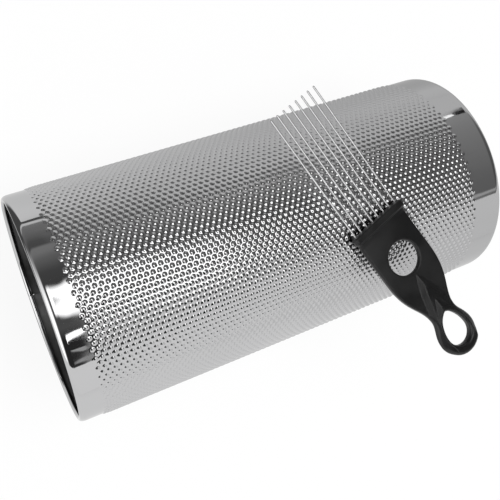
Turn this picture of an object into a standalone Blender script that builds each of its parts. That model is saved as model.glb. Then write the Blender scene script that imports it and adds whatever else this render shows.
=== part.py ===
# Guira: a drum rolled from embossed sheet metal, lying on its seam, with a tined scraper across its top.
# Metres, +Z up. +X runs along the drum, and the origin is under its middle, on the flat of the seam.

import math

import bmesh
import bpy
from mathutils import Vector

# Drum sheet
DRUM_LENGTH = 0.304
DRUM_RADIUS = 0.0735  # outer face of the plain sheet
SHEET = 0.0005  # sheet thickness
PLAIN_BAND = 0.016  # smooth margin at each end, rim included
BUMP_HEIGHT = 0.001
DRUM_COLUMNS = 60  # flats around the drum, with a row of bumps along each joint between two
SEAM_WIDTH = 0.020  # flat land where the sheet's two edges lap
LAP_JOGGLE = 0.003  # width of the step that takes the outer edge over the inner one

# Rolled rims, each around a stiffening wire
RIM_RADIUS = 0.003
RIM_WRAP = math.radians(270)
RIM_STEPS = 6

# Scraper tines
TINE_COUNT = 8
TINE_PITCH = 0.0051
TINE_RADIUS = 0.00075
TINE_REACH = 0.088  # from the handle's front to the tips
TINE_SOCKET = 0.014  # depth of the holes that hold the tines
TINE_SIDES = 10

# Scraper handle, measured back from its front
HANDLE_WIDTH = 0.0398
HANDLE_THICKNESS = 0.0036
HANDLE_ROUNDING = 0.0009
SHOULDER_Y = 0.038  # where the straight sides end
NECK_Y = 0.076
NECK_WIDTH = 0.020
WINDOW_Y = 0.0307
WINDOW_RADIUS = 0.0112
RING_Y = 0.0946
RING_RADIUS = 0.0134
RING_STRAND = 0.0057  # width of the ring at its sides
RING_HEEL = 0.008  # width of the ring at its end
BAR_DEPTH = 0.0052
BAR_OVERHANG = 0.0009  # past the handle's sides
BAR_RISE = 0.0013  # above the handle's face
BAR_SEAT = 0.0003  # below the handle's underside
BAR_ROUNDING = 0.0011
UPPER_STEP_Y = 0.0435  # points of the two raised steps that lead down to the ring
UPPER_STEP_RISE = 0.0012  # above the handle's face
UPPER_STEP_SLOPE = 0.0018  # width of the sloping edge
UPPER_STEP_INSET = 0.0006  # from the handle's edge to the foot of the slope
LOWER_STEP_Y = 0.0635
LOWER_STEP_RISE = 0.0022
LOWER_STEP_SLOPE = 0.0014
LOWER_STEP_INSET = 0.0010

# Where the scraper lies
SCRAPER_X = 0.0492
SCRAPER_Y = -0.0094
SCRAPER_TURN = math.radians(20.7)

CLEARANCE = 0.0003  # between pieces that touch
SMOOTH_BELOW = 40  # degrees between faces that are shaded as one surface
QUARTER_BOW = 0.5523  # handle length of a quarter circle's Bezier, as a share of its radius

# Heights that follow from the sizes above
SEAM_ANGLE = math.asin(SEAM_WIDTH / 2 / DRUM_RADIUS)
LAP_STEP = SHEET + CLEARANCE
AXIS_Z = DRUM_RADIUS * math.cos(SEAM_ANGLE) + LAP_STEP
TINE_Z = AXIS_Z + DRUM_RADIUS + BUMP_HEIGHT + CLEARANCE + BAR_SEAT + HANDLE_THICKNESS / 2


def clear_scene():
    for old in list(bpy.data.objects):
        bpy.data.objects.remove(old, do_unlink=True)


def new_collection(name):
    collection = bpy.data.collections.new(name)
    bpy.context.scene.collection.children.link(collection)
    return collection


def new_material(name, colour, roughness, metallic):
    material = bpy.data.materials.new(name)
    material.use_nodes = True
    shader = material.node_tree.nodes["Principled BSDF"]
    shader.inputs["Base Color"].default_value = (*colour, 1.0)
    shader.inputs["Roughness"].default_value = roughness
    shader.inputs["Metallic"].default_value = metallic
    return material


def add_object(name, data, collection, material=None, parent=None):
    obj = bpy.data.objects.new(name, data)
    collection.objects.link(obj)
    if material is not None:
        data.materials.append(material)
    obj.parent = parent
    return obj


def smooth(mesh):
    mesh.shade_smooth()
    mesh.set_sharp_from_angle(angle=math.radians(SMOOTH_BELOW))


def evaluated_mesh(obj):
    """The object's mesh with its modifiers applied and its loose caps welded."""
    graph = bpy.context.evaluated_depsgraph_get()
    mesh = bpy.data.meshes.new_from_object(obj.evaluated_get(graph))
    bm = bmesh.new()
    bm.from_mesh(mesh)
    bmesh.ops.remove_doubles(bm, verts=bm.verts, dist=0.00001)
    bmesh.ops.recalc_face_normals(bm, faces=bm.faces)
    bm.to_mesh(mesh)
    bm.free()
    return mesh


def as_cutter(obj):
    obj.hide_render = True
    obj.display_type = "WIRE"
    return obj


def combine(obj, tool, operation):
    modifier = obj.modifiers.new(f"{operation.lower()} {tool.name}", "BOOLEAN")
    modifier.operation = operation
    modifier.object = tool


def bezier_spline(curve, points, closed):
    """Add a Bezier spline of (point, left handle, right handle) to a curve."""
    spline = curve.splines.new("BEZIER")
    spline.bezier_points.add(len(points) - 1)
    for knot, (point, left, right) in zip(spline.bezier_points, points):
        knot.handle_left_type = knot.handle_right_type = "FREE"
        knot.co, knot.handle_left, knot.handle_right = (Vector((*p, 0.0)) for p in (point, left, right))
    spline.use_cyclic_u = closed
    spline.resolution_u = 6


# Drum

def drum_section():
    """The sheet's outer face across the drum, from the lap's inner edge round to its outer edge."""
    half = SEAM_WIDTH / 2
    flat_z = -DRUM_RADIUS * math.cos(SEAM_ANGLE)
    start = -math.pi / 2 - SEAM_ANGLE
    step = (math.tau - 2 * SEAM_ANGLE) / DRUM_COLUMNS
    arc = []
    for column in range(DRUM_COLUMNS + 1):
        angle = start - column * step
        arc.append(Vector((math.cos(angle), math.sin(angle))) * DRUM_RADIUS)
    inner_edge = [Vector((half - LAP_JOGGLE - LAP_STEP, flat_z))]
    outer_lap = [Vector((half - LAP_JOGGLE, flat_z - LAP_STEP)), Vector((LAP_JOGGLE - half, flat_z - LAP_STEP))]
    return inner_edge + arc, outer_lap


def outward_mitres(points):
    """For each point of a section, the move that offsets both its neighbouring flats by one unit."""
    moves = []
    for index, point in enumerate(points):
        before = point - points[max(index - 1, 0)]
        after = points[min(index + 1, len(points) - 1)] - point
        normals = [Vector((-d.y, d.x)).normalized() for d in (before, after) if d.length > 0]
        mean = sum(normals, Vector((0.0, 0.0))).normalized()
        moves.append(mean / mean.dot(normals[0]))
    return moves


def rim_profile(end):
    """(x, depth below the outer face) along one rolled rim, from the wall to the lip."""
    profile = []
    for step in range(1, RIM_STEPS + 1):
        turn = RIM_WRAP * step / RIM_STEPS
        x = end * (DRUM_LENGTH / 2 - RIM_RADIUS + RIM_RADIUS * math.sin(turn))
        profile.append((x, RIM_RADIUS * (1 - math.cos(turn))))
    return profile


def drum_meridian():
    """(x, depth) along the sheet from lip to lip."""
    wall_end = DRUM_LENGTH / 2 - RIM_RADIUS
    band_edge = DRUM_LENGTH / 2 - PLAIN_BAND
    wall = [(x, 0.0) for x in (-wall_end, -band_edge, band_edge, wall_end)]
    return rim_profile(-1)[::-1] + wall + rim_profile(1)


def rolled_sheet(collection):
    """A flat grid rolled up along the section and curled at both ends. The lap's outer edge has no curl."""
    wound, lap = drum_section()
    section = wound + lap
    meridian = drum_meridian()
    mitres = outward_mitres(section)
    bm = bmesh.new()
    bmesh.ops.create_grid(bm, x_segments=len(meridian) - 1, y_segments=len(section) - 1, size=1)
    bm.verts.ensure_lookup_table()
    for row, (point, mitre) in enumerate(zip(section, mitres)):
        for column, (x, depth) in enumerate(meridian):
            place = point - mitre * depth
            bm.verts[row * len(meridian) + column].co = (x, place.x, place.y + AXIS_Z)
    curled = set(range(RIM_STEPS)) | set(range(len(meridian) - RIM_STEPS, len(meridian)))
    loose = [bm.verts[row * len(meridian) + column] for row in range(len(wound), len(section)) for column in curled]
    bmesh.ops.delete(bm, geom=loose, context="VERTS")
    mesh = bpy.data.meshes.new("drum_sheet")
    bm.to_mesh(mesh)
    bm.free()
    sheet = add_object("drum_sheet", mesh, collection)
    wall = sheet.modifiers.new("sheet thickness", "SOLIDIFY")
    wall.thickness = SHEET
    wall.offset = -1
    wall.use_even_offset = True
    return sheet


def emboss(mesh):
    """Raise staggered rows of bumps on the outside of the drum, clear of the bands and the seam."""
    band_edge = DRUM_LENGTH / 2 - PLAIN_BAND
    column_angle = (math.tau - 2 * SEAM_ANGLE) / DRUM_COLUMNS
    row_spacing = DRUM_RADIUS * column_angle
    cells = 2 * round(band_edge / (row_spacing / math.sqrt(3)))
    bm = bmesh.new()
    bm.from_mesh(mesh)

    def column_of(vert):
        angle = math.atan2(vert.co.y, vert.co.z - AXIS_Z)
        return angle / column_angle + DRUM_COLUMNS / 2

    def on_outer_face(vert):
        return math.hypot(vert.co.y, vert.co.z - AXIS_Z) > DRUM_RADIUS - SHEET / 2

    rows = []
    for edge in bm.edges:
        spans_field = abs(edge.verts[0].co.x - edge.verts[1].co.x) > 1.9 * band_edge
        if spans_field and all(on_outer_face(v) and 0.5 < column_of(v) < DRUM_COLUMNS - 0.5 for v in edge.verts):
            rows.append(edge)
    bmesh.ops.subdivide_edges(bm, edges=rows, cuts=cells - 1, use_grid_fill=True)

    cell = 2 * band_edge / cells
    tips = set()
    for vert in bm.verts:
        column = round(column_of(vert))
        place = round((vert.co.x + band_edge) / cell)
        in_field = 1 < column < DRUM_COLUMNS - 1 and 0 < place < cells and on_outer_face(vert)
        if in_field and (column + place) % 2 == 0:
            tips.add(vert)
    for face in [f for f in bm.faces if len(f.verts) == 4 and tips.intersection(f.verts)]:
        first, second, third, fourth = face.verts
        if first in tips or third in tips:
            bmesh.utils.face_split(face, second, fourth)
        else:
            bmesh.utils.face_split(face, first, third)
    for vert in tips:
        outward = Vector((0.0, vert.co.y, vert.co.z - AXIS_Z)).normalized()
        vert.co += outward * BUMP_HEIGHT
    bm.to_mesh(mesh)
    bm.free()


def make_drum(parts, tools, chrome, steel):
    sheet = rolled_sheet(tools)
    shell_mesh = evaluated_mesh(sheet)
    bpy.data.objects.remove(sheet, do_unlink=True)
    emboss(shell_mesh)
    smooth(shell_mesh)
    shell_mesh.name = "drum_shell"
    add_object("drum_shell", shell_mesh, parts, chrome)
    for name, end in (("rim_wire_left", -1), ("rim_wire_right", 1)):
        make_rim_wire(name, end, parts, steel)


def make_rim_wire(name, end, parts, material):
    """A closed wire along the middle of a rolled rim."""
    wound, _ = drum_section()
    curve = bpy.data.curves.new(name, "CURVE")
    curve.dimensions = "3D"
    curve.bevel_depth = RIM_RADIUS * math.cos(RIM_WRAP / RIM_STEPS / 2) - SHEET - CLEARANCE
    curve.bevel_resolution = 1
    spline = curve.splines.new("POLY")
    spline.points.add(len(wound) - 1)
    x = end * (DRUM_LENGTH / 2 - RIM_RADIUS)
    for knot, point, mitre in zip(spline.points, wound, outward_mitres(wound)):
        place = point - mitre * RIM_RADIUS
        knot.co = (x, place.x, place.y + AXIS_Z, 1.0)
    spline.use_cyclic_u = True
    add_object(name, curve, parts, material)


# Scraper, in a frame with +Y along the tines, +X across them and the tines' axes at height 0

def mirrored(half):
    """Close an outline from its right-hand half, which starts and ends on the centre line."""
    def flip(point):
        return (-point[0], point[1])

    left = [(flip(point), flip(after), flip(before)) for point, before, after in half[-2:0:-1]]
    return half + left


def handle_outline():
    front = BAR_DEPTH / 2
    side = HANDLE_WIDTH / 2
    neck = NECK_WIDTH / 2
    sweep = NECK_Y - SHOULDER_Y
    round_handle = RING_RADIUS * QUARTER_BOW
    heel = -(RING_Y + RING_RADIUS)
    half = [
        ((0, -front), (-side / 3, -front), (side / 3, -front)),
        ((side, -front), (side * 2 / 3, -front), (side, -front - SHOULDER_Y / 3)),
        ((side, -SHOULDER_Y), (side, -SHOULDER_Y * 2 / 3), (side, -SHOULDER_Y - sweep * 0.58)),
        ((neck, -NECK_Y), (neck, -NECK_Y + sweep * 0.32), (neck, -NECK_Y - (RING_Y - NECK_Y) * 0.3)),
        ((RING_RADIUS, -RING_Y), (RING_RADIUS, -RING_Y + round_handle), (RING_RADIUS, -RING_Y - round_handle)),
        ((0, heel), (round_handle, heel), (-round_handle, heel)),
    ]
    return mirrored(half)


def eye_outline(margin=0.0):
    """The ring's hole, wider by a margin: round below, drawn up to a blunt point at the neck."""
    radius = RING_RADIUS - RING_STRAND + margin
    heel = -(RING_Y + RING_RADIUS - RING_HEEL) - margin
    top = -NECK_Y + 1.5 * margin
    centre = heel + radius
    round_handle = radius * QUARTER_BOW
    rise = top - centre
    half = [
        ((0, top), (-radius * 0.5, top - rise * 0.08), (radius * 0.5, top - rise * 0.08)),
        ((radius, centre), (radius, centre + rise * 0.45), (radius, centre - round_handle)),
        ((0, heel), (round_handle, heel), (-round_handle, heel)),
    ]
    return mirrored(half)


def window_outline():
    radius = WINDOW_RADIUS
    bow = radius * QUARTER_BOW
    half = [
        ((0, -WINDOW_Y + radius), (-bow, -WINDOW_Y + radius), (bow, -WINDOW_Y + radius)),
        ((radius, -WINDOW_Y), (radius, -WINDOW_Y + bow), (radius, -WINDOW_Y - bow)),
        ((0, -WINDOW_Y - radius), (bow, -WINDOW_Y - radius), (-bow, -WINDOW_Y - radius)),
    ]
    return mirrored(half)


def handle_plate(tools):
    curve = bpy.data.curves.new("handle_plate", "CURVE")
    curve.dimensions = "2D"
    curve.fill_mode = "BOTH"
    curve.extrude = HANDLE_THICKNESS / 2 - HANDLE_ROUNDING
    curve.bevel_depth = HANDLE_ROUNDING
    curve.bevel_resolution = 1
    curve.offset = -HANDLE_ROUNDING
    for outline in (handle_outline(), window_outline(), eye_outline()):
        bezier_spline(curve, outline, closed=True)
    flat = add_object("handle_plate", curve, tools)
    mesh = evaluated_mesh(flat)
    smooth(mesh)
    bpy.data.objects.remove(flat, do_unlink=True)
    return mesh


def head_bar(tools, frame):
    """The bar across the handle's front, which the tines come out of."""
    low = -HANDLE_THICKNESS / 2 - BAR_SEAT
    high = HANDLE_THICKNESS / 2 + BAR_RISE
    size = Vector((HANDLE_WIDTH + 2 * BAR_OVERHANG, BAR_DEPTH, high - low))
    bm = bmesh.new()
    bmesh.ops.create_cube(bm, size=1)
    bmesh.ops.scale(bm, vec=size, verts=bm.verts)
    bmesh.ops.translate(bm, vec=(0, -BAR_DEPTH / 2, (low + high) / 2), verts=bm.verts)
    mesh = bpy.data.meshes.new("head_bar")
    bm.to_mesh(mesh)
    bm.free()
    bar = as_cutter(add_object("head_bar", mesh, tools, parent=frame))
    rounding = bar.modifiers.new("rounded edges", "BEVEL")
    rounding.width = BAR_ROUNDING
    rounding.segments = 2
    return bar


def step_outline(point_y, side_y, inset):
    """A pointed arch below point_y that meets the handle's side at side_y and follows the ring from there."""
    side = NECK_WIDTH / 2 - inset
    ring = RING_RADIUS - inset
    round_handle = ring * QUARTER_BOW
    heel = -RING_Y - ring
    fall = side_y - point_y
    half = [
        ((0, -point_y), (-side * 0.36, -point_y - fall * 0.22), (side * 0.36, -point_y - fall * 0.22)),
        ((side, -side_y), (side, -side_y + fall * 0.3), (side, -side_y - (RING_Y - side_y) * 0.3)),
        ((ring, -RING_Y), (ring, -RING_Y + round_handle), (ring, -RING_Y - round_handle)),
        ((0, heel), (round_handle, heel), (-round_handle, heel)),
    ]
    return mirrored(half)


def raised_step(name, outline, inset, rise, slope, tools, frame):
    """A pointed layer with sloping edges on the handle's face, open at the ring's eye."""
    slope = min(slope, 0.45 * (RING_STRAND - 2 * inset))
    curve = bpy.data.curves.new(name, "CURVE")
    curve.dimensions = "2D"
    curve.fill_mode = "BOTH"
    curve.bevel_depth = slope
    curve.bevel_resolution = 0
    curve.offset = -slope
    bezier_spline(curve, outline, closed=True)
    bezier_spline(curve, eye_outline(inset), closed=True)
    layer = add_object(name, curve, tools)
    mesh = evaluated_mesh(layer)
    bpy.data.objects.remove(layer, do_unlink=True)
    step = as_cutter(add_object(name, mesh, tools, parent=frame))
    step.location.z = HANDLE_THICKNESS / 2
    step.scale.z = rise / slope
    return step


def tine_places():
    return [(index - (TINE_COUNT - 1) / 2) * TINE_PITCH for index in range(TINE_COUNT)]


def socket_holes(tools, frame):
    """One blind hole for each tine, open at the handle's front."""
    bm = bmesh.new()
    for x in tine_places():
        made = bmesh.ops.create_cone(
            bm, cap_ends=True, segments=TINE_SIDES, depth=2 * TINE_SOCKET,
            radius1=TINE_RADIUS + CLEARANCE, radius2=TINE_RADIUS + CLEARANCE)
        bmesh.ops.translate(bm, vec=(x, 0, 0), verts=made["verts"])
    mesh = bpy.data.meshes.new("tine_sockets")
    bm.to_mesh(mesh)
    bm.free()
    holes = as_cutter(add_object("tine_sockets", mesh, tools, parent=frame))
    holes.rotation_euler.x = -math.pi / 2
    return holes


def make_handle(parts, tools, frame, plastic):
    handle = add_object("scraper_handle", handle_plate(tools), parts, plastic, frame)
    upper_side = NECK_Y - (NECK_Y - UPPER_STEP_Y) * 0.15
    upper_step = raised_step(
        "upper_step", step_outline(UPPER_STEP_Y, upper_side, UPPER_STEP_INSET), UPPER_STEP_INSET,
        UPPER_STEP_RISE, UPPER_STEP_SLOPE, tools, frame)
    lower_step = raised_step(
        "lower_step", step_outline(LOWER_STEP_Y, NECK_Y, LOWER_STEP_INSET), LOWER_STEP_INSET,
        LOWER_STEP_RISE, LOWER_STEP_SLOPE, tools, frame)
    combine(handle, head_bar(tools, frame), "UNION")
    combine(handle, upper_step, "UNION")
    combine(handle, lower_step, "UNION")
    combine(handle, socket_holes(tools, frame), "DIFFERENCE")


def tine_mesh():
    """Turned profile of a tine: round tip, straight shank, flat root in its socket."""
    root = -TINE_SOCKET + CLEARANCE
    profile = [(0.0, TINE_REACH)]
    for step in (1, 2, 3):
        turn = math.pi / 2 * step / 3
        profile.append((TINE_RADIUS * math.sin(turn), TINE_REACH - TINE_RADIUS * (1 - math.cos(turn))))
    profile += [(TINE_RADIUS, root), (0.0, root)]
    mesh = bpy.data.meshes.new("tine")
    bm = bmesh.new()
    verts = [bm.verts.new((radius, 0, height)) for radius, height in profile]
    for upper, lower in zip(verts, verts[1:]):
        bm.edges.new((upper, lower))
    bm.to_mesh(mesh)
    bm.free()
    return mesh


def make_tines(parts, frame, steel):
    mesh = tine_mesh()
    mesh.materials.append(steel)
    for number, x in enumerate(tine_places(), start=1):
        tine = add_object(f"tine_{number}", mesh, parts, parent=frame)
        tine.location.x = x
        tine.rotation_euler.x = -math.pi / 2
        turned = tine.modifiers.new("turned", "SCREW")
        turned.steps = turned.render_steps = TINE_SIDES
        turned.use_merge_vertices = True
        turned.merge_threshold = 0.00001


def main():
    clear_scene()
    parts = new_collection("guira")
    tools = new_collection("guira shaping tools")
    chrome = new_material("polished sheet", (0.82, 0.82, 0.84), 0.08, 1.0)
    wire_steel = new_material("rim wire", (0.55, 0.55, 0.56), 0.35, 1.0)
    tine_steel = new_material("tine steel", (0.72, 0.72, 0.73), 0.2, 1.0)
    plastic = new_material("black plastic", (0.012, 0.012, 0.013), 0.35, 0.0)
    make_drum(parts, tools, chrome, wire_steel)
    scraper = add_object("scraper", None, parts)
    scraper.location = (SCRAPER_X, SCRAPER_Y, TINE_Z)
    scraper.rotation_euler.z = SCRAPER_TURN
    make_handle(parts, tools, scraper, plastic)
    make_tines(parts, scraper, tine_steel)


main()
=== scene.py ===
# Guira: a polished drum pressed with bumps, lying on its seam, and a tined scraper across its top
import math

import bmesh
import bpy
import numpy as np
from mathutils import Matrix, Vector
from mathutils.geometry import delaunay_2d_cdt


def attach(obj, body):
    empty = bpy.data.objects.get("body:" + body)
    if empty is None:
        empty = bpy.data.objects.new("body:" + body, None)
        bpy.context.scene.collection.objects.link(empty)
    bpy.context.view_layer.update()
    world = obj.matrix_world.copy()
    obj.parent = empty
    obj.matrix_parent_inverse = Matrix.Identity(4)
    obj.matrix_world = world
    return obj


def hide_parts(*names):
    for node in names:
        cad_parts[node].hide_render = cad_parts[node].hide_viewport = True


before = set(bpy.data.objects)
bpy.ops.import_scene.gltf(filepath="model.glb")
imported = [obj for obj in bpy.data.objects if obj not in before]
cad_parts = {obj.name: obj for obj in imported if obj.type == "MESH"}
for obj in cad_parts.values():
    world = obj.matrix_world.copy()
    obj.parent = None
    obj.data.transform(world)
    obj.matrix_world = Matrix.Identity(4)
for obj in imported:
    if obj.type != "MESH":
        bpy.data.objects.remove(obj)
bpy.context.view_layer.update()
print("frame loaded with", len(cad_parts), "solids")

mm = 0.001
weld = 0.00001  # points closer than this are one


# small helpers for node trees and meshes

def plug(tree, socket, value):
    if isinstance(value, bpy.types.NodeSocket):
        tree.links.new(value, socket)
    else:
        socket.default_value = value


def addNode(tree, kind, inputs=None, **settings):
    new = tree.nodes.new(kind)
    for name, value in settings.items():
        setattr(new, name, value)
    for name, value in (inputs or {}).items():
        plug(tree, new.inputs[name], value)
    return new


def calc(tree, operation, *values):
    new = addNode(tree, "ShaderNodeMath", operation=operation)
    for socket, value in zip(new.inputs, values):
        plug(tree, socket, value)
    return new.outputs[0]


def remap(tree, value, low, high, toLow, toHigh):
    new = addNode(tree, "ShaderNodeMapRange", interpolation_type="SMOOTHSTEP")
    for socket, setting in zip(new.inputs, (value, low, high, toLow, toHigh)):
        plug(tree, socket, setting)
    return new.outputs[0]


def axes(tree, vector):
    return addNode(tree, "ShaderNodeSeparateXYZ", {"Vector": vector}).outputs


def newObject(name, mesh, *materials):
    obj = bpy.data.objects.new(name, mesh)
    bpy.context.scene.collection.objects.link(obj)
    for material in materials:
        mesh.materials.append(material)
    return obj


def meshFrom(bm, name):
    mesh = bpy.data.meshes.new(name)
    bm.to_mesh(mesh)
    bm.free()
    return mesh


def smooth(mesh, foldAngle):
    mesh.shade_smooth()
    mesh.set_sharp_from_angle(angle=math.radians(foldAngle))


def bake(obj):
    # makes what the modifiers give a plain mesh
    bpy.context.view_layer.update()
    mesh = bpy.data.meshes.new_from_object(obj.evaluated_get(bpy.context.evaluated_depsgraph_get()))
    mesh.name = obj.name
    obj.modifiers.clear()
    obj.data = mesh
    return obj


def thicken(name, mesh, thickness, foldAngle, outside, inside):
    # gives a sheet its wall, with the second finish on its back
    sheet = newObject(name, mesh, outside, inside)
    wall = sheet.modifiers.new("wall", "SOLIDIFY")
    wall.thickness = thickness
    wall.offset = -1
    wall.use_even_offset = False
    wall.material_offset = 1
    smooth(bake(sheet).data, foldAngle)
    return sheet


# finishes

def newMaterial(name):
    material = bpy.data.materials.new(name)
    material.use_nodes = True
    tree = material.node_tree
    return material, tree, tree.nodes["Principled BSDF"]


def objectPlace(tree):
    return addNode(tree, "ShaderNodeTexCoord").outputs["Object"]


def noise(tree, place, scale, detail=3.0, stretch=(1, 1, 1)):
    vector = addNode(tree, "ShaderNodeMapping", {"Vector": place, "Scale": stretch}).outputs[0]
    return addNode(tree, "ShaderNodeTexNoise", {"Vector": vector, "Scale": scale, "Detail": detail}).outputs["Fac"]


def mixColour(tree, share, first, second):
    mix = addNode(tree, "ShaderNodeMix", data_type="RGBA")
    for name, value in (("Factor", share), ("A", first), ("B", second)):
        plug(tree, mix.inputs[name], value)
    return mix.outputs["Result"]


def colourRange(tree, value, dark, light):
    return mixColour(tree, value, (*dark, 1), (*light, 1))


def bumpFrom(tree, height, strength, distance):
    inputs = {"Height": height, "Strength": strength, "Distance": distance}
    return addNode(tree, "ShaderNodeBump", inputs).outputs[0]


# all the steel is cloudy, with faint buffing lines along the drum
buffing = {"cloudScale": 18, "cloudDetail": 4, "rubScale": 220, "rubDetail": 2, "rubStretch": (0.08, 1, 1),
           "rubRange": (0.35, 0.7)}
polish = {"dark": (0.52, 0.52, 0.525), "light": (0.57, 0.57, 0.575), "edge": (0.85, 0.85, 0.85),
          "roughLow": 0.035, "roughHigh": 0.085, "ripple": 0.1, "rippleScale": 55, "rippleDepth": 0.001}
# the sheet's back: rougher, unpolished steel, and also darker than steel, which is painted shade for the inside of the
# drum
dullBackWithPaintedShade = {"dark": (0.17, 0.17, 0.17), "light": (0.24, 0.24, 0.242), "edge": (0.5, 0.5, 0.5),
            "roughLow": 0.32, "roughHigh": 0.48, "ripple": 0.2, "rippleScale": 300, "rippleDepth": 0.0001}
wire = {"dark": (0.36, 0.36, 0.37), "light": (0.50, 0.50, 0.51), "edge": (0.8, 0.8, 0.8),
        "roughLow": 0.28, "roughHigh": 0.42, "ripple": 0.2, "rippleScale": 500, "rippleDepth": 0.0001}


def polishedSteel(name, look):
    material, tree, shader = newMaterial(name)
    place = objectPlace(tree)
    cloud = noise(tree, place, buffing["cloudScale"], buffing["cloudDetail"])
    rubbed = noise(tree, place, buffing["rubScale"], buffing["rubDetail"], buffing["rubStretch"])
    rough = remap(tree, rubbed, *buffing["rubRange"], look["roughLow"], look["roughHigh"])
    plug(tree, shader.inputs["Base Color"], colourRange(tree, cloud, look["dark"], look["light"]))
    plug(tree, shader.inputs["Roughness"], rough)
    ripple = noise(tree, place, look["rippleScale"], 1)
    plug(tree, shader.inputs["Normal"], bumpFrom(tree, ripple, look["ripple"], look["rippleDepth"]))
    shader.inputs["Metallic"].default_value = 1
    shader.inputs["Specular Tint"].default_value = (*look["edge"], 1)
    return material


plastic = {"dark": (0.003, 0.003, 0.0031), "light": (0.006, 0.006, 0.0061), "flowScale": 70, "flowRange": (0.3, 0.7),
           "roughLow": 0.28, "roughHigh": 0.42, "grainScale": 2600, "grain": 0.25, "grainDepth": 0.00003, "gloss": 0.42}


def mouldedPlastic(name, look):
    material, tree, shader = newMaterial(name)
    place = objectPlace(tree)
    flow = noise(tree, place, look["flowScale"], 3)
    grain = noise(tree, place, look["grainScale"], 2)
    rough = remap(tree, flow, *look["flowRange"], look["roughLow"], look["roughHigh"])
    plug(tree, shader.inputs["Base Color"], colourRange(tree, flow, look["dark"], look["light"]))
    plug(tree, shader.inputs["Roughness"], rough)
    plug(tree, shader.inputs["Normal"], bumpFrom(tree, grain, look["grain"], look["grainDepth"]))
    shader.inputs["Specular IOR Level"].default_value = look["gloss"]
    return material


sheetFinish = polishedSteel("polishedSheet", polish)
# the back's darker colour is painted shade for the inside of the drum
backFinishWithPaintedShade = polishedSteel("dullSheetBackWithPaintedShade", dullBackWithPaintedShade)
wireFinish = polishedSteel("rimWireSteel", wire)
plasticFinish = mouldedPlastic("blackPlastic", plastic)
print("finishes made")


# drum: the sheet's section runs from the lap's inner edge round to its outer edge

drum = {"length": 0.304, "radius": 0.0735, "sheet": 0.0005, "foldAngle": 50, "rows": 134, "plainRows": 2,
        "leftBand": 0.0138, "rightBand": 0.0214, "bandEase": 0.0005,
        "seamWidth": 0.020, "lapJoggle": 0.003, "lapStep": 0.0008,
        "lipLength": 0.0042, "lipDrop": 0.0021, "curlRadius": 0.0017, "rimWrap": 270, "rimSteps": 27,
        "wireRadius": 0.0007, "wireSides": 12}
seamAngle = math.asin(drum["seamWidth"] / 2 / drum["radius"])
axisHeight = drum["radius"] * math.cos(seamAngle) + drum["lapStep"]
arcStart = seamAngle - math.pi  # from the top, towards +Y
rowSpacing = -2 * arcStart * drum["radius"] / drum["rows"]
fieldLeft = drum["leftBand"] - drum["length"] / 2
fieldRight = drum["length"] / 2 - drum["rightBand"]


def drumSection():
    half = drum["seamWidth"] / 2
    flat = -drum["radius"] * math.cos(seamAngle)
    joggle = half - drum["lapJoggle"]
    thirds = [rowSpacing * (column / 3 + 1 / 6) for column in range(3 * drum["rows"])]  # three to a row of bumps
    runs = [0, *thirds, rowSpacing * drum["rows"]]
    angles = [arcStart + run / drum["radius"] for run in runs]
    arc = [Vector((math.sin(a), math.cos(a))) * drum["radius"] for a in angles]
    innerEdge = [Vector((joggle - drum["sheet"], flat))]
    lap = [Vector((joggle, flat - drum["lapStep"])), Vector((-joggle, flat - drum["lapStep"]))]
    return innerEdge + arc, lap


def mitres(points):
    moves = []
    for index, point in enumerate(points):
        sides = (point - points[max(index - 1, 0)], points[min(index + 1, len(points) - 1)] - point)
        normals = [Vector((-side.y, side.x)).normalized() for side in sides if side.length > 0]
        mean = sum(normals, Vector((0, 0))).normalized()
        moves.append(mean / mean.dot(normals[0]))
    return moves


def rimCurl(end):
    curl = []
    for step in range(1, drum["rimSteps"] + 1):
        turn = math.radians(drum["rimWrap"]) * step / drum["rimSteps"]
        onLip = turn <= math.pi / 2 + 0.001  # a soft shoulder first, then the tight curl
        wide = drum["lipLength"] if onLip else drum["curlRadius"]
        deep = drum["lipDrop"] if onLip else drum["curlRadius"]
        x = end * (drum["length"] / 2 - wide * (1 - math.sin(turn)))
        curl.append((x, drum["lipDrop"] - deep * math.cos(turn)))
    return curl


def makeRimWire(name, end):
    # the wire that the rim is rolled round
    wound, _ = drumSection()
    middle = end * (drum["length"] / 2 - drum["curlRadius"])
    radius, sides = drum["wireRadius"], drum["wireSides"]
    turns = [math.tau * side / sides for side in range(sides)]
    bm = bmesh.new()
    rings = []
    for point, mitre in zip(wound, mitres(wound)):
        ring = []
        for t in turns:
            p = point - mitre * (drum["lipDrop"] + radius * math.cos(t))
            ring.append(bm.verts.new((middle + radius * math.sin(t), p.x, p.y + axisHeight)))
        rings.append(ring)
    for ring, after in zip(rings, rings[1:] + rings[:1]):
        for side in range(sides):
            other = (side + 1) % sides
            bm.faces.new((ring[side], ring[other], after[other], after[side]))
    bmesh.ops.recalc_face_normals(bm, faces=bm.faces)
    mesh = meshFrom(bm, name)
    mesh.shade_smooth()
    return newObject(name, mesh, wireFinish)


# bump field: one bump, repeated in staggered rows on the flat and then rolled up

bump = {"perRow": 70, "rings": ((0.00156, 0), (0.00122, 0.000155), (0.0006, 0.000388)), "height": 0.00046,
        "foldAngle": 45, "lift": 0.0003, "unevenness": 0.5, "wobbleScale": 260, "seamMargin": 0.17, "panels": 9}
bumpPitch = (fieldRight - fieldLeft) / (bump["perRow"] + 0.5)


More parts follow.
